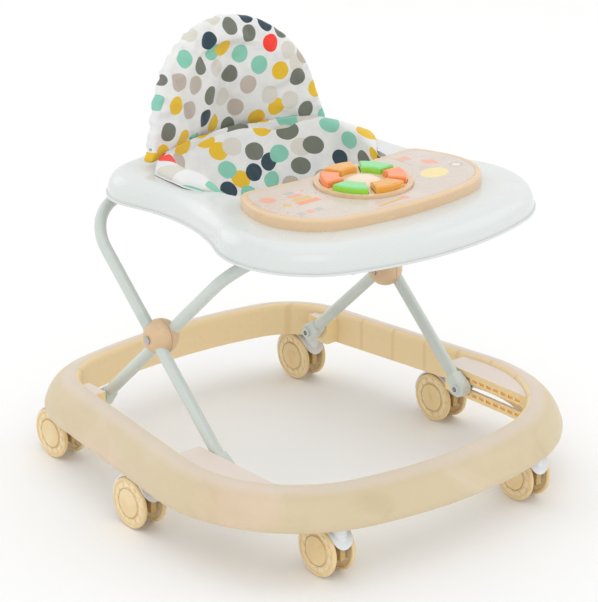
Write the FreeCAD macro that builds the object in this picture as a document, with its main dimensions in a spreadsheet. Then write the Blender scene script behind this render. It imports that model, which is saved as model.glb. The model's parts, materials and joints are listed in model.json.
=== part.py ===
import FreeCAD, Part
import math
import os

# Baby walker: a base ring on six twin-wheel casters, a folding scissor frame of two bent
# tubes, and a tray with a play panel and a hung fabric seat.
# Millimetres, +Z up, the front faces -Y. "left" is the -X side.
# The origin is on the floor, under the middle of the base ring.

os.makedirs("parts", exist_ok=True)
doc = FreeCAD.newDocument("baby_walker")

SIZES = (
    # base ring: middle line of its band, and the band's section
    ("ring_front", 262.0), ("ring_front_radius", 500.0), ("ring_front_angle", 14.0),
    ("ring_shoulder_radius", 160.0), ("ring_side_heading", 98.0), ("ring_side_length", 238.0),
    ("ring_corner_radius", 98.0), ("ring_back_angle", 12.0),
    ("ring_bottom", 65.0), ("ring_top", 105.5), ("ring_inset", 21.0), ("ring_outset", 22.0),
    ("ring_wall", 2.6), ("socket_radius", 9.0),
    # casters: stem places, wheels and hood
    ("caster_front_x", 148.0), ("caster_front_y", -240.0),
    ("caster_mid_x", 231.0), ("caster_mid_y", -14.0),
    ("caster_back_x", 187.0), ("caster_back_y", 200.0),
    ("caster_trail", 20.0), ("wheel_radius", 30.0), ("wheel_width", 6.0), ("wheel_gap", 21.0),
    ("axle_radius", 2.5), ("axle_length", 29.0), ("stem_radius", 4.0), ("stem_top", 95.0),
    ("hood_radius", 32.4), ("hood_width", 27.0), ("hood_wall", 1.8), ("lobe_rise", 21.5),
    ("collar_top", 64.0),
    ("running_gap", 0.06),
    # scissor frame
    ("tube_radius", 7.0), ("tube_wall", 1.2), ("bend_radius", 60.0),
    ("lower_arm", 172.0), ("upper_arm", 180.0), ("frame_angle", 43.0),
    ("hub_x", 169.0), ("hub_y", 42.0), ("hub_z", 200.0), ("hub_radius", 20.7),
    ("tube_offset", 8.6), ("hub_seam", 0.3), ("rivet_radius", 2.5), ("hub_flat", 18.6),
    ("bolt_radius", 3.0), ("foot_radius", 10.5), ("foot_thickness", 15.6),
    ("foot_length", 18.0),
    # rails and pivot blocks on the ring's inner side
    ("rail_x", 186.5), ("rail_thickness", 4.0), ("rail_front", -188.0), ("rail_back", -48.0),
    ("rail_bottom", 67.0), ("rail_top", 101.0), ("slot_front", -178.0), ("slot_back", -70.0),
    ("slot_radius", 4.0), ("notch_pitch", 12.0), ("block_x", 170.0),
    # tray
    ("tray_front", 252.0), ("tray_front_radius", 380.0), ("tray_front_angle", 20.0),
    ("tray_shoulder_radius", 105.0), ("tray_waist_heading", 117.0), ("tray_waist_radius", 230.0),
    ("tray_rear_heading", 73.0), ("tray_rear_radius", 63.0), ("tray_back_angle", 14.0),
    ("tray_bottom", 342.0), ("tray_top", 370.0), ("tray_edge", 22.0), ("tray_wall", 3.0),
    ("lip_width", 2.0), ("lip_height", 2.4),
    ("opening_front", -58.0), ("opening_back", 126.0), ("opening_half", 116.0),
    ("opening_corner", 60.0),
    ("clip_x", 80.0), ("rack_x", 71.0), ("rack_thickness", 6.0), ("rack_back", -72.0),
    ("rack_wall", 3.5), ("track_front", -172.0), ("crossbar_gap", 0.5),
    # play panel
    ("panel_front", 194.0), ("panel_height", 13.0), ("panel_edge", 3.0), ("overlay_inset", 7.0),
    ("overlay_depth", 0.8), ("disc_y", -108.0), ("disc_radius", 55.0), ("disc_height", 3.4),
    ("button_inner", 26.5), ("button_outer", 48.0), ("button_angle", 50.0),
    ("button_height", 13.0), ("button_rise", 7.0), ("button_gap", 0.5), ("dome_radius", 21.0),
    ("dome_height", 5.0),
    # seat
    ("back_radius", 292.0), ("back_centre_y", -140.0), ("back_thickness", 22.0),
    ("back_bottom", 373.6), ("back_half", 136.0), ("back_arch", 125.0), ("back_arch_z", 400.0),
    ("board_thickness", 2.5), ("sling_gap", 4.0), ("sling_wall", 4.0), ("sling_bottom", 278.0),
    ("sling_taper_side", 34.0), ("sling_taper_front", 30.0), ("sling_taper_back", 58.0),
    ("rim_height", 14.0), ("rim_width", 26.0), ("rim_front", 2.0),
    ("leg_radius", 34.0), ("leg_x", 46.0), ("leg_z", 322.0),
)
sheet = doc.addObject("Spreadsheet::Sheet", "Sizes")
for row, (alias, value) in enumerate(SIZES, start=1):
    sheet.set(f"A{row}", alias)
    sheet.set(f"B{row}", str(value))
    sheet.setAlias(f"B{row}", alias)
doc.recompute()

X_AXIS = FreeCAD.Vector(1, 0, 0)
Y_AXIS = FreeCAD.Vector(0, 1, 0)
Z_AXIS = FreeCAD.Vector(0, 0, 1)
ALONG_X = FreeCAD.Rotation(Y_AXIS, 90)
ALONG_Y = FreeCAD.Rotation(X_AXIS, -90)
SIDES = (("left", -1), ("right", 1))
nodes = []


def size(alias):
    return float(sheet.get(alias))


def bind(obj, **expressions):
    """Bind properties to formulas; S. stands for the sheet and __ for a dot in the name."""
    for name, formula in expressions.items():
        obj.setExpression(name.replace("__", "."), str(formula).replace("S.", "Sizes."))


def place(obj, x, y, z, rotation=None):
    """Put an object at formulas for its origin, turned by a rotation."""
    if rotation is not None:
        obj.Placement = FreeCAD.Placement(FreeCAD.Vector(), rotation)
    bind(obj, Placement__Base__x=x, Placement__Base__y=y, Placement__Base__z=z)
    return obj


def node(obj, label):
    """Name a finished sub-part, whose label is also its file's name."""
    obj.Label = label
    nodes.append(obj)
    return obj


def box(x0, x1, y0, y1, z0, z1):
    solid = doc.addObject("Part::Box", "Block")
    bind(solid, Length=f"({x1}) - ({x0})", Width=f"({y1}) - ({y0})", Height=f"({z1}) - ({z0})")
    return place(solid, x0, y0, z0)


def cylinder(radius, length, x, y, z, rotation=None, angle=360):
    solid = doc.addObject("Part::Cylinder", "Round")
    bind(solid, Radius=radius, Height=length, Angle=angle)
    return place(solid, x, y, z, rotation)


def cut(base, tool):
    result = doc.addObject("Part::Cut", "Cut")
    result.Base = base
    result.Tool = tool
    return result


def fuse(*parts):
    result = doc.addObject("Part::MultiFuse", "Fuse")
    result.Shapes = list(parts)
    return result


def common(*parts):
    result = doc.addObject("Part::MultiCommon", "Common")
    result.Shapes = list(parts)
    return result


def group(*parts):
    result = doc.addObject("Part::Compound", "Group")
    result.Links = list(parts)
    return result


def new_body(name):
    return doc.addObject("PartDesign::Body", name)


def new_sketch(body, plane, edges, lift=0.0):
    """A sketch of ready edges on one of the body's own planes, lifted along its normal."""
    sketch = body.newObject("Sketcher::SketchObject", "Outline")
    origin_plane = [f for f in body.Origin.OriginFeatures if f.Role == plane][0]
    sketch.AttachmentSupport = [(origin_plane, "")]
    sketch.MapMode = "FlatFace"
    sketch.AttachmentOffset = FreeCAD.Placement(FreeCAD.Vector(0, 0, lift), FreeCAD.Rotation())
    sketch.addGeometry(edges, False)
    return sketch


def pad(body, sketch, length, reverse=False):
    feature = body.newObject("PartDesign::Pad", "Pad")
    feature.Profile = sketch
    bind(feature, Length=length)
    feature.Reversed = reverse
    return feature


def round_top(body, feature, radius):
    """Fillet the edges that lie flat at the feature's highest level."""
    doc.recompute()
    top = feature.Shape.BoundBox.ZMax
    flat = [
        f"Edge{index}"
        for index, edge in enumerate(feature.Shape.Edges, start=1)
        if edge.BoundBox.ZMin > top - 1e-4
    ]
    fillet = body.newObject("PartDesign::Fillet", "Rounding")
    fillet.Base = (feature, flat)
    bind(fillet, Radius=radius)
    return fillet


def point(x, y):
    return FreeCAD.Vector(x, y, 0)


def line(start, end):
    return Part.LineSegment(point(*start), point(*end))


def arc_through(start, middle, end):
    return Part.Arc(point(*start), point(*middle), point(*end))


def circle(x, y, radius):
    return Part.Circle(point(x, y), Z_AXIS, radius)


def chain(start_y, steps, closing_angle):
    """Half outline from (0, start_y) heading +X, then its mirror: a closed tangent outline.

    A step is (radius, heading after the turn), or (length, None) for a straight run. The
    last arc's radius is the one that meets the Y axis squarely.
    """
    x, y, heading = 0.0, start_y, 0.0
    half = []
    for amount, after in steps:
        if after is None:
            end = (x + amount * math.cos(heading), y + amount * math.sin(heading))
            half.append(("line", (x, y), end))
            x, y = end
            continue
        after = math.radians(after)
        turn = 1 if after > heading else -1
        cx = x - turn * amount * math.sin(heading)
        cy = y + turn * amount * math.cos(heading)
        ends = sorted((heading - turn * math.pi / 2, after - turn * math.pi / 2))
        half.append(("arc", (cx, cy), amount, *ends))
        x = cx + turn * amount * math.sin(after)
        y = cy - turn * amount * math.cos(after)
        heading = after
    if closing_angle:
        turn = 1 if closing_angle > 0 else -1
        radius = x / math.sin(math.radians(abs(closing_angle)))
        cx = x - turn * radius * math.sin(heading)
        cy = y + turn * radius * math.cos(heading)
        ends = sorted((heading - turn * math.pi / 2, math.pi - turn * math.pi / 2))
        half.append(("arc", (cx, cy), radius, *ends))
    edges = []
    for piece in half:
        if piece[0] == "line":
            (x0, y0), (x1, y1) = piece[1:]
            edges.append(line((x0, y0), (x1, y1)))
            edges.append(line((-x0, y0), (-x1, y1)))
        else:
            (cx, cy), radius, first, last = piece[1:]
            edges.append(Part.ArcOfCircle(circle(cx, cy, radius), first, last))
            edges.append(
                Part.ArcOfCircle(circle(-cx, cy, radius), math.pi - last, math.pi - first)
            )
    return edges


def rounded_box(half_width, front, back, corner):
    """Outline of a box with round corners, symmetric about the Y axis."""
    flat = half_width - corner
    side = back - front - 2 * corner
    return chain(front, ((flat, None), (corner, 90), (side, None), (corner, 180),
                         (flat, None)), 0)


# ---------------------------------------------------------------- base ring


def ring_path(inset):
    """The band's middle line, moved inwards by inset."""
    return chain(inset - size("ring_front"), (
        (size("ring_front_radius") - inset, size("ring_front_angle")),
        (size("ring_shoulder_radius") - inset, size("ring_side_heading")),
        (size("ring_side_length"), None),
        (size("ring_corner_radius") - inset, 180 - size("ring_back_angle")),
    ), size("ring_back_angle"))


def band_points(inset):
    """Section of the band on the YZ plane at the front, drawn inset from its outer skin."""
    front, low, top = -size("ring_front"), size("ring_bottom"), size("ring_top")
    inner, outer = front + size("ring_inset") - inset, front - size("ring_outset") + inset
    top -= inset
    return {
        "inner_foot": (inner, low), "inner_wall": (inner, top - 6.5),
        "crest_bulge": (inner - 2.1, top - 1.9), "crest": (inner - 7, top),
        "slope_bulge": (outer + 14.5, top - 9), "slope_foot": (outer + 1.6, top - 29.5),
        "roll_bulge": (outer, low + 5), "roll_foot": (outer + 1.5, low),
    }


def band_skin(points):
    return [
        line(points["inner_foot"], points["inner_wall"]),
        arc_through(points["inner_wall"], points["crest_bulge"], points["crest"]),
        arc_through(points["crest"], points["slope_bulge"], points["slope_foot"]),
        arc_through(points["slope_foot"], points["roll_bulge"], points["roll_foot"]),
    ]


def ring_sweep(name, section):
    body = new_body(name)
    path = new_sketch(body, "XY_Plane", ring_path(0.0))
    profile = new_sketch(body, "YZ_Plane", section)
    sweep = body.newObject("PartDesign::AdditivePipe", "Sweep")
    sweep.Profile = profile
    sweep.Spine = path
    return body


outer_skin = band_points(0.0)
inner_skin = band_points(size("ring_wall"))
envelope = ring_sweep("RingEnvelope", band_skin(outer_skin) + [
    line(outer_skin["roll_foot"], outer_skin["inner_foot"])])
channel = ring_sweep("RingChannel", band_skin(outer_skin) + band_skin(inner_skin) + [
    line(outer_skin["inner_foot"], inner_skin["inner_foot"]),
    line(outer_skin["roll_foot"], inner_skin["roll_foot"])])

CASTERS = [
    (f"{row}_{side}", f"{sign} * S.caster_{row}_x", f"S.caster_{row}_y")
    for row in ("front", "mid", "back")
    for side, sign in SIDES
]
sockets = [
    cylinder("S.socket_radius", "S.ring_top - S.ring_bottom + 5", x, y, "S.ring_bottom")
    for name, x, y in CASTERS
]
bores = [
    cylinder("S.stem_radius + S.running_gap", "S.stem_top - S.ring_bottom + 2",
             x, y, "S.ring_bottom - 1")
    for name, x, y in CASTERS
]
socket_bosses = common(fuse(*sockets), envelope)
node(cut(fuse(channel, socket_bosses), fuse(*bores)), "base_ring")


def inside_ring():
    """The space within the band's inner wall, to trim what is built against that wall."""
    body = new_body("InsideRing")
    pad(body, new_sketch(body, "XY_Plane", ring_path(size("ring_inset"))), 200)
    return body


def mirrored_box(sign, x0, x1, y0, y1, z0, z1):
    """A box given on the +X side, or its mirror image on the -X side."""
    if sign < 0:
        x0, x1 = f"-({x1})", f"-({x0})"
    return box(x0, x1, y0, y1, z0, z1)


def x_cylinder(sign, radius, x0, x1, y, z):
    """A cylinder along X given on the +X side, or its mirror image."""
    low = x0 if sign > 0 else f"-({x1})"
    return cylinder(radius, f"({x1}) - ({x0})", low, y, z, ALONG_X)


FOOT_Y = "(S.hub_y - S.lower_arm * cos(S.frame_angle))"
PIVOT_Y = "(S.hub_y + S.lower_arm * cos(S.frame_angle))"
FOOT_Z = "(S.hub_z - S.lower_arm * sin(S.frame_angle))"

for side, sign in SIDES:
    rail_outer = "S.rail_x + S.rail_thickness"
    plate = mirrored_box(sign, "S.rail_x", rail_outer, "S.rail_front", "S.rail_back",
                         "S.rail_bottom", "S.rail_top")
    shelf = mirrored_box(sign, "S.rail_x", "S.rail_x + 42", "S.rail_front", "S.rail_back",
                         "S.rail_top - 3", "S.rail_top")
    end_wall = mirrored_box(sign, "S.rail_x", "S.rail_x + 42", "S.rail_back - 4", "S.rail_back",
                            "S.rail_bottom", "S.rail_top")
    slot_low = f"{FOOT_Z} - S.slot_radius"
    slot = fuse(
        mirrored_box(sign, "S.rail_x - 1", f"{rail_outer} + 1", "S.slot_front + S.slot_radius",
                     "S.slot_back - S.slot_radius", slot_low, f"{FOOT_Z} + S.slot_radius"),
        x_cylinder(sign, "S.slot_radius", "S.rail_x - 1", f"{rail_outer} + 1",
                   "S.slot_front + S.slot_radius", FOOT_Z),
        x_cylinder(sign, "S.slot_radius", "S.rail_x - 1", f"{rail_outer} + 1",
                   "S.slot_back - S.slot_radius", FOOT_Z),
    )
    notches = [
        mirrored_box(sign, "S.rail_x - 1", "S.rail_x + 1.4",
                     f"S.slot_back - 8 - {k} * S.notch_pitch",
                     f"S.slot_back - {k} * S.notch_pitch", f"{FOOT_Z} + {z0}", f"{FOOT_Z} + {z1}")
        for k in range(9)
        for z0, z1 in ((7.5, 11.0), (-11.0, -7.5))
    ]
    rail = cut(common(fuse(plate, shelf, end_wall), inside_ring()), fuse(slot, *notches))
    node(rail, f"front_rail_{side}")

    block = mirrored_box(sign, "S.block_x", "S.block_x + 40", f"{PIVOT_Y} - 17",
                         f"{PIVOT_Y} + 17", "S.ring_bottom + 2", "S.ring_top - 8")
    bolt_hole = x_cylinder(sign, "S.bolt_radius", "S.block_x - 1", "S.block_x + 13",
                           PIVOT_Y, FOOT_Z)
    node(cut(common(block, inside_ring()), bolt_hole), f"pivot_block_{side}")

pivot_bolts = []
for side, sign in SIDES:
    inner_face = "S.hub_x - S.tube_offset - S.foot_thickness / 2"
    pivot_bolts.append(fuse(
        x_cylinder(sign, "S.bolt_radius", f"{inner_face} - 1", "S.block_x + 13",
                   PIVOT_Y, FOOT_Z),
        x_cylinder(sign, "5.5", f"{inner_face} - 3.2", f"{inner_face} - 0.2", PIVOT_Y, FOOT_Z),
    ))
node(group(*pivot_bolts), "pivot_bolts")

# ---------------------------------------------------------------- casters


def wheel(label, x, y, z, outward):
    """One thin wheel, turned about X, its flat cap facing outward; bumps round both faces."""
    body = new_body("Wheel")
    radius, width, bore = size("wheel_radius"), size("wheel_width"), size("axle_radius")
    groove = radius - 4.4
    inner_side = [
        (-5.5, bore), (-5.5, 7.5), (0.8, 8.3), (1.6, 9.4), (1.6, groove), (0.2, radius - 3.4),
        (0.2, radius - 3),
    ]
    outer_side = [
        (width - 0.2, radius - 3), (width - 0.2, radius - 3.4), (width - 1.2, groove),
        (width - 1.2, 18.6), (width, 18.2), (width, 17.7), (width - 0.9, 17.5),
        (width - 0.9, 17.1), (width, 16.9), (width + 0.3, 16), (width + 0.3, 0), (4, 0),
        (4, bore), (-5.5, bore),
    ]
    edges = [line(a, b) for a, b in zip(inner_side, inner_side[1:])]
    edges.append(arc_through(inner_side[-1], (0.9, radius - 0.7), (width / 2, radius)))
    edges.append(arc_through((width / 2, radius), (width - 0.9, radius - 0.7), outer_side[0]))
    edges += [line(a, b) for a, b in zip(outer_side, outer_side[1:])]
    profile = new_sketch(body, "XZ_Plane", edges)
    turned = body.newObject("PartDesign::Revolution", "Turned")
    turned.Profile = profile
    turned.ReferenceAxis = (profile, ["H_Axis"])
    turned.Angle = 360
    bumps = [
        pad(body, new_sketch(body, "YZ_Plane", [circle(0, radius - 8, 2.4)], low), 1.1)
        for low in (0.7, width - 1.4)
    ]
    pattern = body.newObject("PartDesign::PolarPattern", "Bumps")
    pattern.Originals = bumps
    x_line = [f for f in body.Origin.OriginFeatures if f.Role == "X_Axis"][0]
    pattern.Axis = (x_line, [""])
    pattern.Angle = 360
    pattern.Occurrences = 12
    body.Tip = pattern
    rotation = FreeCAD.Rotation() if outward > 0 else FreeCAD.Rotation(Z_AXIS, 180)
    place(body, x, y, z, rotation)
    return node(body, label)


for name, x, y in CASTERS:
    axle_y = f"{y} + S.caster_trail"
    axle_z = "S.wheel_radius"
    half = "S.hood_width / 2"
    dome = cylinder("S.hood_radius", "S.hood_width", f"{x} - {half}", axle_y, axle_z, ALONG_X)
    collar = cylinder("8.5", "S.collar_top - 44", x, y, 44)
    hollow = cylinder("S.hood_radius - S.hood_wall", "S.hood_width + 2", f"{x} - {half} - 1",
                      axle_y, axle_z, ALONG_X)
    rear_part = box(f"{x} - {half}", f"{x} + {half}", axle_y, f"{axle_y} + 40",
                    f"{axle_z} + 2", "S.collar_top")
    lobe_z = f"{axle_z} + S.lobe_rise"
    front_part = box(f"{x} - {half}", f"{x} + {half}", f"{axle_y} - 40", axle_y,
                     lobe_z, "S.collar_top")
    lobe = cylinder(half, 40, x, f"{axle_y} - 40", lobe_z, ALONG_Y)
    hood = common(cut(fuse(dome, collar), hollow), fuse(rear_part, front_part, lobe))
    web = common(
        cylinder("S.hood_radius - 1", 7, f"{x} - 3.5", axle_y, axle_z, ALONG_X),
        box(f"{x} - 3.5", f"{x} + 3.5", f"{axle_y} - 26", f"{axle_y} + 14", f"{axle_z} - 7",
            "S.collar_top"),
    )
    stem = cylinder("S.stem_radius", "S.stem_top - 44", x, y, 44)
    axle_bore = cylinder("S.axle_radius + S.running_gap", 12, f"{x} - 6", axle_y, axle_z, ALONG_X)
    node(cut(fuse(hood, web, stem), axle_bore), f"hood_{name}")
    axle = cylinder("S.axle_radius", "S.axle_length", f"{x} - S.axle_length / 2",
                    axle_y, axle_z, ALONG_X)
    node(axle, f"axle_{name}")
    wheel(f"wheel_{name}_a", f"{x} - S.wheel_gap / 2", axle_y, axle_z, -1)
    wheel(f"wheel_{name}_b", f"{x} + S.wheel_gap / 2", axle_y, axle_z, 1)

# ---------------------------------------------------------------- scissor frame
# Each tube is drawn flat, X across and Y up the leg from the hub, and then leaned about X.

LEAN_BACK = FreeCAD.Rotation(X_AXIS, size("frame_angle"))
LEAN_FRONT = FreeCAD.Rotation(X_AXIS, 180 - size("frame_angle"))


def in_frame(obj, lean):
    """Turn an object drawn about the hub line into its place in the leaning frame."""
    return place(obj, 0, "S.hub_y", "S.hub_z", lean)


def bent_tube(label, offset_sign, lean):
    body = new_body("Tube")
    leg_x = size("hub_x") + offset_sign * size("tube_offset")
    bend, high = size("bend_radius"), size("upper_arm")
    low = size("lower_arm") - size("foot_length")
    path = [
        line((-leg_x, -low), (-leg_x, high - bend)),
        Part.ArcOfCircle(circle(bend - leg_x, high - bend, bend), math.pi / 2, math.pi),
        line((bend - leg_x, high), (leg_x - bend, high)),
        Part.ArcOfCircle(circle(leg_x - bend, high - bend, bend), 0, math.pi / 2),
        line((leg_x, high - bend), (leg_x, -low)),
    ]
    spine = new_sketch(body, "XY_Plane", path)
    radius = size("tube_radius")
    section = new_sketch(body, "XZ_Plane", [
        circle(-leg_x, 0, radius), circle(-leg_x, 0, radius - size("tube_wall"))], low)
    sweep = body.newObject("PartDesign::AdditivePipe", "Sweep")
    sweep.Profile = section
    sweep.Spine = spine
    rivet_hole = cylinder("S.rivet_radius + S.running_gap", "2 * S.hub_x + 40",
                          "-S.hub_x - 20", 0, 0, ALONG_X)
    tube = cut(body, rivet_hole)
    in_frame(tube, lean)
    return node(tube, label)


bent_tube("frame_tube_outer", 1, LEAN_BACK)
bent_tube("frame_tube_inner", -1, LEAN_FRONT)


def end_piece(label, sign, offset_sign, lean, hole):
    """Flat foot below a leg: a plug inside the tube, and a round eye for the bolt."""
    body = new_body("EndPiece")
    bolt, radius, half = -size("lower_arm"), size("foot_radius"), size("tube_radius")
    top = bolt + size("foot_length")
    outline = [
        line((top, half), (top, -half)), line((top, -half), (bolt, -radius)),
        arc_through((bolt, -radius), (bolt - radius, 0), (bolt, radius)),
        line((bolt, radius), (top, half)),
    ]
    centre = sign * (size("hub_x") + offset_sign * size("tube_offset"))
    profile = new_sketch(body, "YZ_Plane", outline, centre - size("foot_thickness") / 2)
    solid = pad(body, profile, "S.foot_thickness")
    doc.recompute()
    long_edges = [
        f"Edge{index}" for index, edge in enumerate(solid.Shape.Edges, start=1)
        if edge.BoundBox.XLength < 1e-4 and edge.BoundBox.YLength > 1
    ]
    rounding = body.newObject("PartDesign::Fillet", "Rounding")
    rounding.Base = (solid, long_edges)
    rounding.Radius = 2.0
    plug = cylinder("S.tube_radius - S.tube_wall", 24, centre, "S.foot_length - 4 - S.lower_arm",
                    0, ALONG_Y)
    bolt_bore = cylinder(hole, 30, centre - 15, "-S.lower_arm", 0, ALONG_X)
    return node(in_frame(cut(fuse(body, plug), bolt_bore), lean), label)


for side, sign in SIDES:
    end_piece(f"slide_foot_{side}", sign, 1, LEAN_BACK, "S.bolt_radius")
    end_piece(f"pivot_sleeve_{side}", sign, -1, LEAN_FRONT, "S.bolt_radius + S.running_gap")

slide_bolts = []
for side, sign in SIDES:
    inner_face = "S.hub_x + S.tube_offset - S.foot_thickness / 2"
    rail_outer = "S.rail_x + S.rail_thickness"
    slide_bolts.append(fuse(
        x_cylinder(sign, "S.bolt_radius", f"{inner_face} - 1", f"{rail_outer} + 3",
                   FOOT_Y, FOOT_Z),
        x_cylinder(sign, "5", f"{inner_face} - 2.6", inner_face, FOOT_Y, FOOT_Z),
        x_cylinder(sign, "6", f"{rail_outer} + 0.5", f"{rail_outer} + 3.5", FOOT_Y, FOOT_Z),
    ))
node(group(*slide_bolts), "slide_bolts")


def hub_half(label, sign, outward, lean):
    """Half of the ball round the crossing: outward 1 holds the outer tube, -1 the inner."""
    toward = sign * outward
    ball = doc.addObject("Part::Sphere", "Ball")
    bind(ball, Radius="S.hub_radius")
    place(ball, f"{sign} * S.hub_x", 0, 0)
    near = f"{sign} * S.hub_x + {toward} * S.hub_seam"
    far = f"{sign} * S.hub_x + {toward} * S.hub_flat"
    low, high = (near, far) if toward > 0 else (far, near)
    keep = box(low, high, -30, 30, -30, 30)
    tube_bore = cylinder("S.tube_radius", 60, f"{sign} * (S.hub_x + {outward} * S.tube_offset)",
                         -30, 0, ALONG_Y)
    rivet_bore = cylinder("S.rivet_radius + S.running_gap", 60, f"{sign} * S.hub_x - 30", 0, 0,
                          ALONG_X)
    half = cut(common(ball, keep), fuse(tube_bore, rivet_bore))
    return node(in_frame(half, lean), label)


rivets = []
for side, sign in SIDES:
    hub_half(f"hub_outer_{side}", sign, 1, LEAN_BACK)
    hub_half(f"hub_inner_{side}", sign, -1, LEAN_FRONT)
    flat = "S.hub_flat"
    rivets.append(fuse(
        x_cylinder(sign, "S.rivet_radius", f"S.hub_x - {flat} - 1", f"S.hub_x + {flat} + 1",
                   "S.hub_y", "S.hub_z"),
        x_cylinder(sign, "4.6", f"S.hub_x + {flat} + 0.1", f"S.hub_x + {flat} + 2",
                   "S.hub_y", "S.hub_z"),
        x_cylinder(sign, "4.6", f"S.hub_x - {flat} - 2", f"S.hub_x - {flat} - 0.1",
                   "S.hub_y", "S.hub_z"),
    ))
node(group(*rivets), "hub_rivets")

# ---------------------------------------------------------------- tray


def tray_outline(inset):
    """The waisted outline of the tray, moved inwards by inset."""
    return chain(inset - size("tray_front"), (
        (size("tray_front_radius") - inset, size("tray_front_angle")),
        (size("tray_shoulder_radius") - inset, size("tray_waist_heading")),
        (size("tray_waist_radius") + inset, size("tray_rear_heading")),
        (size("tray_rear_radius") - inset, 180 - size("tray_back_angle")),
    ), size("tray_back_angle"))


def rounded_slab(name, outline, bottom, height, edge):
    body = new_body(name)
    sketch = new_sketch(body, "XY_Plane", outline)
    round_top(body, pad(body, sketch, height), edge)
    return place(body, 0, 0, bottom)


def opening_block(name, grow, low, height):
    """The leg opening's outline, grown outwards, as an upright block."""
    body = new_body(name)
    sketch = new_sketch(body, "XY_Plane", rounded_box(
        size("opening_half") + grow, size("opening_front") - grow, size("opening_back") + grow,
        size("opening_corner") + grow))
    pad(body, sketch, height)
    return place(body, 0, 0, low)


TRAY_HEIGHT = "S.tray_top - S.tray_bottom"
shell = rounded_slab("TrayShell", tray_outline(0.0), "S.tray_bottom", TRAY_HEIGHT, "S.tray_edge")
lip = new_body("TrayLip")
pad(lip, new_sketch(lip, "XY_Plane", tray_outline(-size("lip_width"))), "S.lip_height")
place(lip, 0, 0, "S.tray_bottom")
hollow = rounded_slab("TrayHollow", tray_outline(size("tray_wall")), "S.tray_bottom - 5",
                      f"{TRAY_HEIGHT} + 5 - S.tray_wall", "S.tray_edge - S.tray_wall")
collar = opening_block("Collar", size("tray_wall"), "S.tray_bottom - 6", f"{TRAY_HEIGHT} + 10")
opening = opening_block("Opening", 0.0, "S.tray_bottom - 10", f"{TRAY_HEIGHT} + 20")
underside_level = box(-300, 300, -300, 300, "S.tray_bottom - 20", "S.tray_bottom")
tray = cut(cut(cut(fuse(shell, lip), cut(hollow, collar)), opening), underside_level)
node(tray, "tray")

CROSSBAR_Y = "(S.hub_y + S.upper_arm * cos(S.frame_angle))"
FRONT_BAR_Y = "(S.hub_y - S.upper_arm * cos(S.frame_angle))"
CROSSBAR_Z = "(S.hub_z + S.upper_arm * sin(S.frame_angle))"
CEILING = "S.tray_top - S.tray_wall"

for side, sign in SIDES:
    centre = f"{sign} * S.clip_x"
    hanger = box(f"{centre} - 9", f"{centre} + 9", f"{CROSSBAR_Y} - 27", f"{CROSSBAR_Y} - 12.5",
                 f"{CROSSBAR_Z} - 10", CEILING)
    saddle = box(f"{centre} - 9", f"{centre} + 9", f"{CROSSBAR_Y} - 13", f"{CROSSBAR_Y} + 10.8",
                 f"{CROSSBAR_Z} - 10.8", f"{CROSSBAR_Z} + 10.8")
    bore = cylinder("S.tube_radius + S.running_gap", 20, f"{centre} - 10", CROSSBAR_Y, CROSSBAR_Z,
                    ALONG_X)
    node(cut(cut(fuse(hanger, saddle), bore), tray), f"hinge_clip_{side}")

    middle = f"{sign} * S.rack_x"
    inner, outer = f"{middle} - S.rack_thickness / 2", f"{middle} + S.rack_thickness / 2"
    reach = "(S.tube_radius + S.crossbar_gap)"
    jaw = f"({reach} + S.rack_wall)"
    plate = fuse(
        box(inner, outer, "S.track_front", "S.rack_back", f"{CROSSBAR_Z} - {jaw}", CEILING),
        box(inner, outer, f"S.track_front - {jaw}", "S.track_front", CROSSBAR_Z, CEILING),
        cylinder(jaw, "S.rack_thickness", inner, "S.track_front", CROSSBAR_Z, ALONG_X),
    )
    track = box(f"{inner} - 1", f"{outer} + 1", "S.track_front", FRONT_BAR_Y,
                f"{CROSSBAR_Z} - {reach}", f"{CROSSBAR_Z} + {reach}")
    stops = [
        cylinder(reach, "S.rack_thickness + 2", f"{inner} - 1", y, f"{CROSSBAR_Z} + {rise}",
                 ALONG_X)
        for y, rise in (
            (FRONT_BAR_Y, 0), ("S.track_front", 0), (FRONT_BAR_Y, 4),
            (f"{FRONT_BAR_Y} - 24", 4), (f"{FRONT_BAR_Y} - 48", 4),
        )
    ]
    node(cut(plate, fuse(track, *stops)), f"height_rack_{side}")

# ---------------------------------------------------------------- play panel


def panel_outline(inset):
    """The panel's D shape: a bowed front, round horns, and a slightly hollow rear edge."""
    return chain(inset - size("panel_front"), (
        (420 - inset, 12), (75 - inset, 100), (150 - inset, 116), (22 - inset, 188)), -8)


PANEL_TOP = "S.tray_top + S.panel_height"
panel_slab = rounded_slab("PanelSlab", panel_outline(0.0), "S.tray_top", "S.panel_height",
                          "S.panel_edge")
recess = new_body("OverlayRecess")
pad(recess, new_sketch(recess, "XY_Plane", panel_outline(size("overlay_inset"))), 5)
place(recess, 0, 0, f"{PANEL_TOP} - S.overlay_depth")
disc = cylinder("S.disc_radius", "S.disc_height + 2", 0, "S.disc_y", f"{PANEL_TOP} - 2")
BUTTONS = (
    ("button_orange_left", 150), ("button_amber_rear", 90), ("button_green_right", 30),
    ("button_orange_right", -30), ("button_amber_front", -90), ("button_green_left", -150),
)


def sector(middle_angle, grow, low, height):
    """A block between two radii about the disc's centre, widened by grow on every side."""
    spread = "(S.button_angle + 2 * " + f"{grow} * 180 / (3.14159 * S.button_inner))"
    outer = cylinder(f"S.button_outer + {grow}", height, 0, "S.disc_y", low, angle=spread)
    inner = cylinder(f"S.button_inner - {grow}", "40", 0, "S.disc_y", f"{low} - 5")
    degrees = size("button_angle") + 2 * grow * 180 / (3.14159 * size("button_inner"))
    outer.Placement.Rotation = FreeCAD.Rotation(Z_AXIS, middle_angle - degrees / 2)
    return cut(outer, inner)


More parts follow.
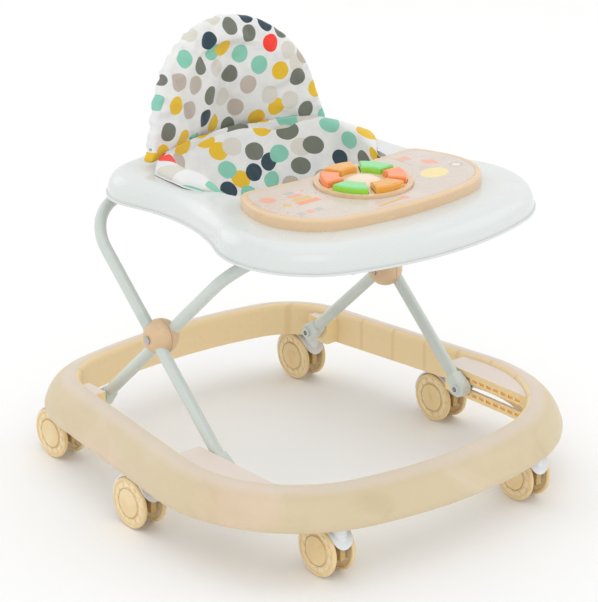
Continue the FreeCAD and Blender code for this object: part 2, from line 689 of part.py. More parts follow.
DISC_TOP = f"{PANEL_TOP} + S.disc_height"
BUTTON_LOW = f"{DISC_TOP} + S.button_rise - S.button_height"
wells = [
    sector(angle, size("button_gap"), f"{BUTTON_LOW} - 3.5", "30") for name, angle in BUTTONS
]
node(cut(fuse(cut(panel_slab, recess), disc), fuse(*wells)), "play_panel")
overlay_hole = cylinder("S.disc_radius + 0.5", 20, 0, "S.disc_y", f"{PANEL_TOP} - 10")
overlay = new_body("OverlaySheet")
pad(overlay, new_sketch(overlay, "XY_Plane", panel_outline(size("overlay_inset") + 0.3)),
    "S.overlay_depth")
place(overlay, 0, 0, f"{PANEL_TOP} - S.overlay_depth")
node(cut(overlay, overlay_hole), "panel_overlay")

for name, angle in BUTTONS:
    block = sector(angle, 0.0, BUTTON_LOW, "S.button_height")
    doc.recompute()
    upper = [
        (index, 2.5, 2.5) for index, edge in enumerate(block.Shape.Edges, start=1)
        if edge.BoundBox.ZMin > block.Shape.BoundBox.ZMax - 1e-4
    ]
    button = doc.addObject("Part::Fillet", "Button")
    button.Base = block
    button.Edges = upper
    node(button, name)

ball = doc.addObject("Part::Sphere", "DomeBall")
bind(ball, Radius="(S.dome_radius ^ 2 + S.dome_height ^ 2) / (2 * S.dome_height)")
place(ball, 0, "S.disc_y",
      f"{DISC_TOP} + S.dome_height - (S.dome_radius ^ 2 + S.dome_height ^ 2) / (2 * S.dome_height)")
dome_keep = box(-30, 30, "S.disc_y - 30", "S.disc_y + 30", DISC_TOP, f"{DISC_TOP} + 10")
node(common(ball, dome_keep), "panel_dome")
node(box(-44, 44, "S.disc_y - 38", "S.disc_y + 38", "S.tray_bottom + 3", CEILING), "sound_box")

# ---------------------------------------------------------------- seat


def arched_shell(name, outer_radius, thickness, shrink):
    """An upright dome-shaped shell, curved round the child's back."""
    half, arch = size("back_half") - shrink, size("back_arch") - shrink
    low, centre = size("back_bottom"), size("back_arch_z")
    foot = math.radians(12)
    shoulder = (arch * math.cos(foot), centre + arch * math.sin(foot))
    outline = [
        line((-half, low), (half, low)), line((half, low), shoulder),
        Part.ArcOfCircle(circle(0, centre, arch), foot, math.pi - foot),
        line((-shoulder[0], shoulder[1]), (-half, low)),
    ]
    body = new_body(name)
    pad(body, new_sketch(body, "XZ_Plane", outline), 200, True)
    y = "S.back_centre_y"
    ring = cut(cylinder(outer_radius, 200, 0, y, 360),
               cylinder(f"{outer_radius} - {thickness}", 210, 0, y, 355))
    return common(ring, body)


node(arched_shell("BackPad", "S.back_radius", "S.back_thickness", 0.0), "seat_back")
node(arched_shell("BackBoard", "S.back_radius + 0.3 + S.board_thickness", "S.board_thickness",
                  6.0), "backrest_board")


def bucket(name, shrink, low, top):
    """A tub that tapers down from the opening, most of all at the child's back."""
    body = new_body(name)
    half, corner = size("opening_half") - size("sling_gap") - shrink, size("opening_corner")
    front = size("opening_front") + size("sling_gap") + shrink
    back = size("opening_back") - size("sling_gap") - shrink
    corner -= size("sling_gap") + shrink
    upper = rounded_box(half, front, back, corner)
    lower = rounded_box(half - size("sling_taper_side"), front + size("sling_taper_front"),
                        back - size("sling_taper_back"), corner - 20)
    loft = body.newObject("PartDesign::AdditiveLoft", "Loft")
    loft.Profile = new_sketch(body, "XY_Plane", lower, low)
    loft.Sections = [new_sketch(body, "XY_Plane", upper, top)]
    return body


floor = size("sling_bottom")
rim_top = size("tray_top") + 0.3 + size("rim_height")
tub = bucket("SlingOuter", 0.0, floor, rim_top)
tub_hollow = bucket("SlingInner", size("sling_wall"), floor + size("sling_wall"), rim_top + 1)
rim = common(
    opening_block("Rim", size("rim_width"), "S.tray_top + 0.3", "S.rim_height"),
    cylinder("S.back_radius - S.back_thickness - 0.3", 100, 0, "S.back_centre_y", 340),
)
front_top = box(-200, 200, -200, "S.rim_front", "S.tray_top - 1", 450)
legs = [
    cylinder("S.leg_radius", 90, f"{sign} * S.leg_x", -80, "S.leg_z", ALONG_Y)
    for side, sign in SIDES
]
cloth = cut(cut(fuse(tub, rim), tub_hollow), fuse(front_top, *legs))
node(cloth, "seat_sling")

# ---------------------------------------------------------------- check and write

doc.recompute()
for obj in doc.Objects:
    if "Invalid" in obj.State or "Error" in obj.State:
        raise RuntimeError(f"{obj.Name} ({obj.Label}) is {obj.State}")
for obj in nodes:
    if obj.Shape.isNull() or not obj.Shape.isValid() or not obj.Shape.Solids:
        raise RuntimeError(f"{obj.Label} has no valid solid")
    obj.Shape.exportStep(f"parts/{obj.Label}.step")
print(f"{len(nodes)} sub-parts written")
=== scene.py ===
"""Looks of the baby walker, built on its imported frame. Metres, +Z up, the front faces -Y."""

import json
import math

import bmesh
import bpy
from mathutils import Matrix, Vector, noise

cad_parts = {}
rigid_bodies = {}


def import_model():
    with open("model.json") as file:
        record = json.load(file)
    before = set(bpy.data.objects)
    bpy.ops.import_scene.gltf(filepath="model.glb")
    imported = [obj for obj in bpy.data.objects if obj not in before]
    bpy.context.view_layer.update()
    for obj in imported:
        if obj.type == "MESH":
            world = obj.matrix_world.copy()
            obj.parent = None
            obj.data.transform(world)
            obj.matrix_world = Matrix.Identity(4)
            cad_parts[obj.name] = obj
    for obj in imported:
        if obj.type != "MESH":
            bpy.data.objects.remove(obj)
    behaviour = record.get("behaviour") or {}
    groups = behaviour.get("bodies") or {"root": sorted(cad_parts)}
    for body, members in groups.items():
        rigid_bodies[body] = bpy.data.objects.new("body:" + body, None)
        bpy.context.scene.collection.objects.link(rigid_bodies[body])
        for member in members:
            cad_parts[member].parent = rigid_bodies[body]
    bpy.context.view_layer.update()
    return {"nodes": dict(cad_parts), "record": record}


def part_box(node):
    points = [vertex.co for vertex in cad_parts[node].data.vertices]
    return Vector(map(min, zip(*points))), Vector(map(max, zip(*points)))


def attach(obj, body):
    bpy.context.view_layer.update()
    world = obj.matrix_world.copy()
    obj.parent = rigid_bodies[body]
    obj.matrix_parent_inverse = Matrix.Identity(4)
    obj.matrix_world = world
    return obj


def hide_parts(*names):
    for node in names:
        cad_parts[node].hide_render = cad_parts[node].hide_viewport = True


for leftover in list(bpy.data.objects):
    bpy.data.objects.remove(leftover)
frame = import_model()
NODES = frame["nodes"]

# ---------------------------------------------------------------- stage

scene = bpy.context.scene
scene.view_settings.view_transform = "Standard"


def srgb(red, green, blue, alpha=1.0):
    """A colour given as 0-255 screen values, as the linear colour the shaders use."""
    def linear(value):
        value /= 255
        return value / 12.92 if value <= 0.04045 else ((value + 0.055) / 1.055) ** 2.4
    return (linear(red), linear(green), linear(blue), alpha)


def look_at(obj, eye, target, roll=0.0):
    """Put an object at a point, its -Z axis towards another, turned about that axis."""
    direction = Vector(target) - Vector(eye)
    turn = direction.to_track_quat("-Z", "Y").to_matrix()
    obj.matrix_world = (
        Matrix.Translation(eye) @ (turn @ Matrix.Rotation(roll, 3, "Z")).to_4x4()
    )


def placed(name, data):
    """A new object with this data, in the scene."""
    obj = bpy.data.objects.new(name, data)
    scene.collection.objects.link(obj)
    return obj


# The photograph's viewing angle
CAMERA_LENS = 156.1
CAMERA_EYE = (-1.801, -2.139, 1.294)
CAMERA_AIM = (-0.027, -0.030, 0.228)
CAMERA_ROLL = math.radians(-0.13)

camera = placed("camera", bpy.data.cameras.new("camera"))
camera.data.lens = CAMERA_LENS
look_at(camera, CAMERA_EYE, CAMERA_AIM, CAMERA_ROLL)
scene.camera = camera

SKY_STRENGTH = 0.95
world = bpy.data.worlds.new("studio")
world.use_nodes = True
sky = world.node_tree.nodes["Background"].inputs
sky["Color"].default_value = (1.0, 1.0, 1.0, 1.0)
sky["Strength"].default_value = SKY_STRENGTH
scene.world = world

# Name, place, aim, width in metres, power in watts
LIGHTS = (
    ("key", (-1.6, -1.9, 3.0), (0, 0, 0.25), 2.4, 13),
    ("fill", (2.6, -1.2, 2.0), (0, 0, 0.2), 2.2, 7),
    ("top", (0.2, 0.6, 3.4), (0, 0, 0.2), 2.6, 4),
    ("back", (-0.6, 3.0, 1.8), (0, 0, 0.3), 2.0, 6),
)
for name, eye, target, width, power in LIGHTS:
    lamp = placed(name, bpy.data.lights.new(name, "AREA"))
    lamp.data.shape = "DISK"
    lamp.data.size = width
    lamp.data.energy = power
    look_at(lamp, eye, target)

# ---------------------------------------------------------------- material tools


class Look:
    """A material on a Principled shader, with short calls that add and join nodes."""

    def __init__(self, name, color, roughness, **sockets):
        self.material = bpy.data.materials.new(name)
        self.material.use_nodes = True
        self.tree = self.material.node_tree
        self.shader = self.tree.nodes["Principled BSDF"]
        self.shader.inputs["Base Color"].default_value = color
        self.shader.inputs["Roughness"].default_value = roughness
        for socket, value in sockets.items():
            self.shader.inputs[socket.replace("_", " ")].default_value = value
        self.place = self.add("ShaderNodeTexCoord").outputs["Object"]

    def add(self, kind, **settings):
        made = self.tree.nodes.new(kind)
        for name, value in settings.items():
            setattr(made, name, value)
        return made

    def feed(self, made, **inputs):
        """Set or join a node's inputs; a trailing number picks among several of one name."""
        for name, value in inputs.items():
            key = int(name[1:]) if name[0] == "i" and name[1:].isdigit() else name
            socket = made.inputs[key]
            if isinstance(value, bpy.types.NodeSocket):
                self.tree.links.new(value, socket)
            else:
                socket.default_value = value
        return made

    def noise(self, scale, detail=3.0, roughness=0.5, distortion=0.0, vector=None):
        made = self.add("ShaderNodeTexNoise")
        self.feed(made, Vector=vector or self.place, Scale=scale, Detail=detail,
                  Roughness=roughness, Distortion=distortion)
        return made.outputs["Fac"]

    def stretched(self, x, y, z, vector=None):
        made = self.add("ShaderNodeMapping", vector_type="POINT")
        self.feed(made, Vector=vector or self.place, Scale=(x, y, z))
        return made.outputs["Vector"]

    def math(self, operation, a, b=0.0, clamp=False):
        made = self.add("ShaderNodeMath", operation=operation, use_clamp=clamp)
        self.feed(made, i0=a, i1=b)
        return made.outputs[0]

    def span(self, value, low, high, to_low=0.0, to_high=1.0):
        made = self.add("ShaderNodeMapRange", interpolation_type="SMOOTHSTEP")
        self.feed(made, i0=value, i1=low, i2=high, i3=to_low, i4=to_high)
        return made.outputs[0]

    def mix(self, factor, a, b, blend="MIX"):
        made = self.add("ShaderNodeMix", data_type="RGBA", blend_type=blend)
        self.feed(made, i0=factor, i6=a, i7=b)
        return made.outputs[2]

    def shape(self, kind, x, y, across, deep, turn=0.0):
        """Where a printed box, kite or round of these half sizes lies, seen from above."""
        made = self.add("ShaderNodeMapping", vector_type="TEXTURE")
        self.feed(made, Vector=self.place, Location=(x, y, 0.0),
                  Rotation=(0.0, 0.0, math.radians(turn)), Scale=(across, deep, 1.0))
        parts = self.add("ShaderNodeSeparateXYZ")
        self.feed(parts, Vector=made.outputs["Vector"])
        a = self.math("ABSOLUTE", parts.outputs[0])
        b = self.math("ABSOLUTE", parts.outputs[1])
        if kind == "box":
            reach = self.math("MAXIMUM", a, b)
        elif kind == "kite":
            reach = self.math("ADD", a, b)
        else:
            reach = self.math("SQRT", self.math(
                "ADD", self.math("MULTIPLY", a, a), self.math("MULTIPLY", b, b)))
        return self.span(reach, 1.04, 0.96)

    def axis(self, index):
        """One coordinate of the place, in metres."""
        parts = self.add("ShaderNodeSeparateXYZ")
        self.feed(parts, Vector=self.place)
        return parts.outputs[index]

    def facing(self, index):
        """One part of the surface's own direction."""
        parts = self.add("ShaderNodeSeparateXYZ")
        self.feed(parts, Vector=self.add("ShaderNodeNewGeometry").outputs["Normal"])
        return parts.outputs[index]

    def inward(self):
        """How much the surface faces the middle of the walker."""
        made = self.add("ShaderNodeVectorMath", operation="DOT_PRODUCT")
        self.feed(made, i0=self.add("ShaderNodeNewGeometry").outputs["Normal"],
                  i1=self.stretched(1.0, 1.0, 0.0))
        return self.span(made.outputs["Value"], -0.03, -0.12)

    def from_axis(self, y, z):
        """Distance from a line that runs across the walker at this Y and Z."""
        made = self.add("ShaderNodeVectorMath", operation="DISTANCE")
        self.feed(made, i0=self.stretched(0.0, 1.0, 1.0), i1=(0.0, y, z))
        return made.outputs["Value"]

    def from_axles(self):
        """Distance from the nearest caster's axle line."""
        nearest = 1.0
        for y, z in AXLES:
            nearest = self.math("MINIMUM", self.from_axis(y, z), nearest)
        return nearest

    def paint(self, color):
        self.feed(self.shader, **{"Base Color": color})
        return self

    def gloss(self, value):
        self.feed(self.shader, Roughness=value)
        return self

    def relief(self, height, distance, strength=1.0):
        made = self.add("ShaderNodeBump")
        self.feed(made, Height=height, Distance=distance, Strength=strength)
        self.feed(self.shader, Normal=made.outputs["Normal"])
        return self


def moulded(name, main, light, dark, roughness, grain=0.00006, cloud=9.0, wash=None,
            **sockets):
    """Moulded plastic: flow clouds, faint colour specks, fine grain and handling marks."""
    look = Look(name, main, roughness, **sockets)
    flow = look.noise(cloud, 4.0, 0.6, 0.6)
    tint = look.mix(look.span(flow, 0.52, 0.72), main, light)
    tint = look.mix(look.span(flow, 0.46, 0.28), tint, dark)
    if wash:
        tint = wash(look, tint)
    speck = look.span(look.noise(240.0, 2.0, 0.5), 0.62, 0.80, 0.0, 0.35)
    look.paint(look.mix(speck, tint, dark))
    scuff = look.noise(1.0, 5.0, 0.65, 0.3, look.stretched(28.0, 28.0, 90.0))
    look.gloss(look.span(scuff, 0.35, 0.75, roughness - 0.05, roughness + 0.09))
    fine = look.noise(900.0, 3.0, 0.6)
    wave = look.noise(38.0, 2.0, 0.5)
    made = look.add("ShaderNodeMath", operation="MULTIPLY_ADD")
    look.feed(made, i0=wave, i1=2.2, i2=fine)
    look.relief(made.outputs[0], grain)
    return look.material


def middle_of(node):
    """The middle of a CAD node's box."""
    return [(low + high) / 2 for low, high in zip(*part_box(node))]


ROWS = ("front", "mid", "back")
SIDES = ("left", "right")
FOOT = middle_of("slide_bolts")
PIVOT = middle_of("pivot_bolts")
AXLES = [tuple(middle_of(f"axle_{row}_left"))[1:] for row in ROWS]
SLOT_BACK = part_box("front_rail_left")[1][1] - 0.022
BUTTON_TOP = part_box("button_green_left")[1][2]

# Distances from a caster's axle
WEB_REACH = 0.0301
BUMP_MIDDLE = 0.0220
CAP_GAP_SHADE = 0.0173
# The notches above and below the rails' slots, counted from the slot's rear end
NOTCH_PITCH = 0.012
NOTCH_SHARE = 0.667
NOTCH_COUNT = 9.0
NOTCH_OFF_SLOT = 0.00925
NOTCH_HALF_HEIGHT = 0.0018
RIB_PITCH = 0.050
# The printed scatter of small marks on either half of the panel
CONFETTI_COUNT = 14
CONFETTI_TURN = 2.4
CONFETTI_SIZE = 0.0017


def hood_wash(look, tint):
    """The web between the wheels, in their golden shade."""
    in_web = look.span(look.from_axles(), WEB_REACH + 0.0003, WEB_REACH - 0.0003)
    return look.mix(in_web, tint, srgb(198, 166, 108))


def wheel_wash(look, tint):
    """A painted highlight on the tread bumps between the rim and the hub cap, and painted shade
    in the gap round the cap.
    """
    reach = look.from_axles()
    near = look.math("ABSOLUTE", look.math("SUBTRACT", reach, BUMP_MIDDLE))
    # Painted highlight: a paler band where the bumps catch the light.
    tint = look.mix(look.span(near, 0.0028, 0.0018, 0.0, 0.45), tint, srgb(247, 234, 204))
    # Painted shade: a darker line in the gap round the hub cap.
    line = look.math("ABSOLUTE", look.math("SUBTRACT", reach, CAP_GAP_SHADE))
    return look.mix(look.span(line, 0.0006, 0.0002, 0.0, 0.6), tint, srgb(176, 140, 84))


def ring_wash(look, tint):
    """Peach blotches, a painted highlight that makes upward-facing tops paler, and painted light
    that makes the inward-facing wall lighter and warmer, with faint ribs.
    """
    blotch = look.span(look.noise(7.0, 3.0, 0.5, 0.8), 0.54, 0.74, 0.0, 0.6)
    tint = look.mix(blotch, tint, srgb(226, 200, 178))
    # Painted highlight: surfaces that face up are paler, where the light from above falls.
    top = look.math("MULTIPLY", look.span(look.facing(2), 0.80, 0.98), 0.6)
    tint = look.mix(top, tint, srgb(229, 216, 206))
    ribs = look.math("SINE", look.math("MULTIPLY", look.axis(1), 2 * math.pi / RIB_PITCH))
    # Painted light: the inward-facing wall is lighter and warmer than the rest of the ring, with
    # faint rib stripes.
    wall = look.mix(look.span(ribs, 0.90, 1.0), srgb(246, 220, 174), srgb(238, 210, 160))
    return look.mix(look.inward(), tint, wall)


def rail_wash(look, tint):
    """A painted highlight that makes the upward-facing shelf pale, and the orange hollows of the
    notches above and below the slot.
    """
    # Painted highlight: faces of the rail that point up are paler and pinker.
    tint = look.mix(look.span(look.facing(2), 0.7, 0.95), tint, srgb(234, 220, 210))
    steps = look.math("DIVIDE", look.math("SUBTRACT", SLOT_BACK, look.axis(1)), NOTCH_PITCH)
    in_step = look.math("LESS_THAN", look.math("FRACT", steps), NOTCH_SHARE)
    in_row = look.math("MULTIPLY", look.math("GREATER_THAN", steps, 0.0),
                       look.math("LESS_THAN", steps, NOTCH_COUNT))
    height = look.math("ABSOLUTE", look.math("SUBTRACT", look.axis(2), FOOT[2]))
    in_band = look.math("LESS_THAN", look.math(
        "ABSOLUTE", look.math("SUBTRACT", height, NOTCH_OFF_SLOT)), NOTCH_HALF_HEIGHT)
    hollow = look.math("MULTIPLY", look.math("MULTIPLY", in_step, in_row), in_band)
    return look.mix(look.math("MULTIPLY", hollow, 0.9), tint, srgb(254, 192, 98))


def print_wash(look, tint):
    """Plain generic shapes: a striped cone, rounds, kites, blocks and confetti.

    Each is its kind, place, half sizes, turn in degrees and colour, in the panel's own plane.
    """
    grey, salmon = srgb(190, 188, 184), srgb(240, 168, 140)
    mustard, orange, straw = srgb(224, 186, 96), srgb(246, 150, 90), srgb(246, 226, 150)
    prints = [("box", -0.086, -0.083 - 0.011 * k, 0.006 + 0.003 * k, 0.0048, 0, color)
              for k, color in enumerate((grey, salmon, mustard, orange))]
    prints += [("box", -0.118 + 0.012 * k, -0.143, 0.0048, 0.0048, 8, color)
               for k, color in enumerate((grey, salmon, grey))]
    prints += [
        ("round", -0.118, -0.086, 0.009, 0.009, 0, salmon),
        ("kite", -0.112, -0.112, 0.008, 0.0035, 0, mustard),
        ("kite", -0.112, -0.112, 0.0035, 0.008, 0, mustard),
        ("box", -0.020, -0.176, 0.020, 0.0022, 6, mustard),
        ("round", 0.002, -0.174, 0.005, 0.005, 0, salmon),
        ("round", 0.084, -0.132, 0.019, 0.014, 15, straw),
        ("kite", 0.106, -0.100, 0.009, 0.013, 20, salmon),
        ("box", 0.082, -0.082, 0.0014, 0.016, 0, grey),
        ("box", 0.090, -0.074, 0.008, 0.006, 0, salmon),
        ("round", 0.122, -0.126, 0.008, 0.008, 0, grey),
        ("round", 0.122, -0.126, 0.005, 0.005, 0, srgb(244, 228, 214)),
    ]
    for k in range(CONFETTI_COUNT):
        turn = k * CONFETTI_TURN
        side = -1 if k % 2 else 1
        prints.append(("round" if k % 3 else "box", side * (0.094 + 0.034 * math.cos(turn)),
                       -0.120 + 0.052 * math.sin(turn), CONFETTI_SIZE, CONFETTI_SIZE,
                       30 * k, (grey, orange, mustard, salmon)[k % 4]))
    for kind, x, y, across, deep, turn, color in prints:
        inside = look.shape(kind, x, y, across, deep, turn)
        tint = look.mix(look.math("MULTIPLY", inside, 0.9), tint, color)
    return tint


def green_wash(look, tint):
    """A mint top on lime sides."""
    return look.mix(look.span(look.axis(2), BUTTON_TOP - 0.0022, BUTTON_TOP - 0.0008), tint,
                    srgb(134, 220, 142))


ring_plastic = moulded(
    "ring_plastic", srgb(213, 197, 163), srgb(219, 203, 175), srgb(206, 190, 154), 0.42,
    cloud=11.0, wash=ring_wash, Subsurface_Weight=0.12, Subsurface_Scale=0.01)
rail_plastic = moulded(
    "rail_plastic", srgb(248, 222, 168), srgb(251, 230, 188), srgb(242, 210, 152), 0.40,
    cloud=20.0, wash=rail_wash, Subsurface_Weight=0.10, Subsurface_Scale=0.008)
wheel_plastic = moulded(
    "wheel_plastic", srgb(236, 210, 160), srgb(242, 220, 176), srgb(228, 198, 140), 0.36,
    cloud=30.0, wash=wheel_wash, Subsurface_Weight=0.10, Subsurface_Scale=0.006)
fitting_plastic = moulded(
    "fitting_plastic", srgb(210, 217, 212), srgb(218, 224, 219), srgb(200, 208, 203), 0.36,
    cloud=30.0)
white_plastic = moulded(
    "white_plastic", srgb(230, 233, 236), srgb(237, 239, 241), srgb(220, 224, 228), 0.28,
    cloud=24.0)
hood_plastic = moulded(
    "hood_plastic", srgb(230, 233, 236), srgb(237, 239, 241), srgb(220, 224, 228), 0.28,
    cloud=24.0, wash=hood_wash)
tray_plastic = moulded(
    "tray_plastic", srgb(219, 223, 221), srgb(225, 228, 226), srgb(212, 217, 215), 0.22,
    cloud=6.0, Coat_Weight=0.35, Coat_Roughness=0.12)
grey_plastic = moulded(
    "grey_plastic", srgb(205, 207, 208), srgb(214, 216, 217), srgb(192, 195, 197), 0.45)
hub_plastic = moulded(
    "hub_plastic", srgb(220, 188, 150), srgb(228, 200, 168), srgb(208, 172, 132), 0.34,
    cloud=34.0)
panel_plastic = moulded(
    "panel_plastic", srgb(228, 198, 160), srgb(233, 207, 174), srgb(221, 187, 146), 0.30,
    cloud=16.0, Coat_Weight=0.2, Coat_Roughness=0.15)
dome_plastic = moulded(
    "dome_plastic", srgb(244, 222, 200), srgb(248, 230, 212), srgb(238, 212, 186), 0.28,
    cloud=40.0, Coat_Weight=0.25, Coat_Roughness=0.12)
overlay_print = moulded(
    "overlay_print", srgb(215, 202, 190), srgb(221, 209, 198), srgb(209, 194, 180), 0.30,
    cloud=22.0, wash=print_wash, Coat_Weight=0.3, Coat_Roughness=0.1)
button_orange = moulded(
    "button_orange", srgb(250, 142, 78), srgb(252, 158, 98), srgb(244, 122, 58), 0.24,
    cloud=60.0, Coat_Weight=0.4, Coat_Roughness=0.08)
button_amber = moulded(
    "button_amber", srgb(236, 166, 60), srgb(242, 180, 84), srgb(226, 148, 44), 0.24,
    cloud=60.0, Coat_Weight=0.4, Coat_Roughness=0.08)
button_green = moulded(
    "button_green", srgb(150, 222, 60), srgb(162, 228, 80), srgb(132, 208, 46), 0.24,
    cloud=60.0, wash=green_wash, Coat_Weight=0.4, Coat_Roughness=0.08)


def coated_tube():
    """Powder coat: fine orange peel, slight drift in the shade, and dull handling marks."""
    base, light, dark = srgb(204, 212, 206), srgb(214, 220, 215), srgb(193, 202, 197)
    look = Look("frame_paint", base, 0.33, Coat_Weight=0.25, Coat_Roughness=0.2)
    drift = look.noise(14.0, 3.0, 0.5)
    tint = look.mix(look.span(drift, 0.5, 0.75), base, light)
    look.paint(look.mix(look.span(drift, 0.45, 0.25), tint, dark))
    marks = look.noise(1.0, 4.0, 0.6, 0.4, look.stretched(60.0, 60.0, 14.0))
    look.gloss(look.span(marks, 0.4, 0.75, 0.28, 0.42))
    look.relief(look.noise(520.0, 2.0, 0.5), 0.00008)
    return look.material


def plated_steel():
    """Zinc-plated steel with turning marks and faint yellowing."""
    look = Look("steel", srgb(188, 190, 192), 0.3, Metallic=1.0)
    tone = look.noise(160.0, 4.0, 0.6)
    look.paint(look.mix(look.span(tone, 0.35, 0.75), srgb(180, 182, 184), srgb(206, 203, 192)))
    marks = look.noise(1.0, 4.0, 0.6, 0.0, look.stretched(1800.0, 160.0, 160.0))
    look.gloss(look.span(marks, 0.3, 0.7, 0.22, 0.42))
    look.relief(marks, 0.00003)
    return look.material


def capped_screw():
    """A small dark screw in the middle of a round cap of the fittings' plastic."""
    look = Look("capped_screw", srgb(210, 217, 212), 0.36)
    reach = look.math("MINIMUM", look.from_axis(*FOOT[1:]), look.from_axis(*PIVOT[1:]))
    metal = look.span(reach, 0.0032, 0.0029)
    edge = look.span(look.math("ABSOLUTE", look.math("SUBTRACT", reach, 0.0026)), 0.0007, 0.0003)
    tone = look.noise(300.0, 3.0, 0.5)
    shade = look.mix(look.span(tone, 0.35, 0.7), srgb(120, 124, 124), srgb(156, 158, 156))
    shade = look.mix(edge, shade, srgb(62, 66, 68))
    look.paint(look.mix(metal, srgb(210, 217, 212), shade))
    look.feed(look.shader, Metallic=look.math("MULTIPLY", metal, 0.6))
    look.relief(tone, 0.00003)
    return look.material


frame_paint = coated_tube()
steel = plated_steel()
screw = capped_screw()

FINISHES = {
    "ring_plastic": ring_plastic, "rail_plastic": rail_plastic,
    "wheel_plastic": wheel_plastic, "white_plastic": white_plastic,
    "tray_plastic": tray_plastic, "grey_plastic": grey_plastic, "hub_plastic": hub_plastic,
    "panel_plastic": panel_plastic, "dome_plastic": dome_plastic,
    "overlay_print": overlay_print, "button_orange": button_orange,
    "button_amber": button_amber, "button_green": button_green,
    "frame_paint": frame_paint, "steel": steel, "fitting_plastic": fitting_plastic,
}


def dress(mesh, material):
    """Give a mesh this one material."""
    mesh.materials.clear()
    mesh.materials.append(material)


for part in frame["record"]["subparts"]:
    if part["material_slot"] in FINISHES:
        dress(NODES[part["node"]].data, FINISHES[part["material_slot"]])
for row in ROWS:
    for side in SIDES:
        dress(NODES[f"hood_{row}_{side}"].data, hood_plastic)
for bolts in ("slide_bolts", "pivot_bolts"):
    dress(NODES[bolts].data, screw)

floor_look = Look("floor", srgb(250, 250, 250), 0.75)
floor_look.paint(floor_look.mix(
    floor_look.noise(3.0, 3.0, 0.5), srgb(249, 249, 249), srgb(252, 252, 251)))
floor_look.relief(floor_look.noise(420.0, 3.0, 0.6), 0.00005)
FLOOR_HALF = 12
FLOOR_Z = -0.0005
floor_mesh = bpy.data.meshes.new("floor")
floor_mesh.from_pydata(
    [(x * FLOOR_HALF, y * FLOOR_HALF, FLOOR_Z)
     for x, y in ((-1, -1), (1, -1), (1, 1), (-1, 1))], [], [(0, 1, 2, 3)])
floor_mesh.materials.append(floor_look.material)
floor = placed("floor", floor_mesh)

# ---------------------------------------------------------------- mesh tools


def apply_modifiers(obj):
    """Bake an object's modifiers into its mesh."""
    bpy.context.view_layer.update()
    graph = bpy.context.evaluated_depsgraph_get()
    baked = bpy.data.meshes.new_from_object(
        obj.evaluated_get(graph), preserve_all_data_layers=True, depsgraph=graph)
    obj.modifiers.clear()
    obj.data = baked


def subdivide(obj):
    """Split each face in four, on a smooth surface."""
    modifier = obj.modifiers.new("subdivide", "SUBSURF")
    modifier.levels = modifier.render_levels = 1
    apply_modifiers(obj)


def shade_smooth(mesh):
    for polygon in mesh.polygons:
        polygon.use_smooth = True


def smoothstep(value, low, high):
    """0 below low, 1 above high, and an even slope between."""
    t = min(1.0, max(0.0, (value - low) / (high - low)))
    return t * t * (3 - 2 * t)


def crease(away, width, depth):
    """The depth of a narrow fold, this far from its middle line."""
    return -depth * math.exp(-(away / width) ** 2)


# ---------------------------------------------------------------- seat fabric

TINTS = {
    "taupe": srgb(196, 184, 172), "navy": srgb(30, 60, 76), "olive": srgb(114, 118, 106),
    "mint": srgb(138, 207, 184), "mustard": srgb(238, 194, 30), "red": srgb(255, 52, 34),
    "pale": srgb(222, 218, 208),
}
DOT_RADIUS = 0.0106
DOT_PITCH = 0.0285
DOT_GRID_TURN = 27
THREAD_PITCH = 0.00085
# A second, sparse printing of dots: how far it is moved, and the share of each that is kept
SECOND_OFFSET = 5.43
KEPT, SECOND_KEPT = 0.90, 0.14
# How much of the cloth each tint takes, in the order they are drawn from
SHARES = (("taupe", 0.22), ("olive", 0.17), ("mint", 0.17), ("mustard", 0.15),
          ("pale", 0.15), ("navy", 0.10), ("red", 0.04))


def dot_layer(look, edge, offset, kept):
    """One printing of dots, a share of them kept: how far inside a dot, and its tint."""
    made = look.add("ShaderNodeMapping", vector_type="POINT")
    look.feed(made, Vector=edge, Location=(offset, offset * 0.6, 0.0),
              Rotation=(0.0, 0.0, math.radians(DOT_GRID_TURN)),
              Scale=(1 / DOT_PITCH, 1 / DOT_PITCH, 0.0))
    cells = look.add("ShaderNodeTexVoronoi", voronoi_dimensions="2D")
    look.feed(cells, Vector=made.outputs["Vector"], Scale=1.0, Randomness=0.24)
    inside = look.span(cells.outputs["Distance"], (DOT_RADIUS + 0.0002) / DOT_PITCH,
                       (DOT_RADIUS - 0.0002) / DOT_PITCH)
    draws = look.add("ShaderNodeSeparateColor")
    look.feed(draws, Color=cells.outputs["Color"])
    shown = look.math("LESS_THAN", draws.outputs[1], kept)
    ramp = look.add("ShaderNodeValToRGB")
    ramp.color_ramp.interpolation = "CONSTANT"
    stops = ramp.color_ramp.elements
    stops[0].color = TINTS[SHARES[0][0]]
    at = SHARES[0][1]
    for index, (tint, share) in enumerate(SHARES[1:], start=1):
        stop = stops[1] if index == 1 else stops.new(at)
        stop.position = at
        stop.color = TINTS[tint]
        at += share
    look.feed(ramp, Fac=draws.outputs[0])
    return look.math("MULTIPLY", inside, shown), ramp.outputs["Color"]


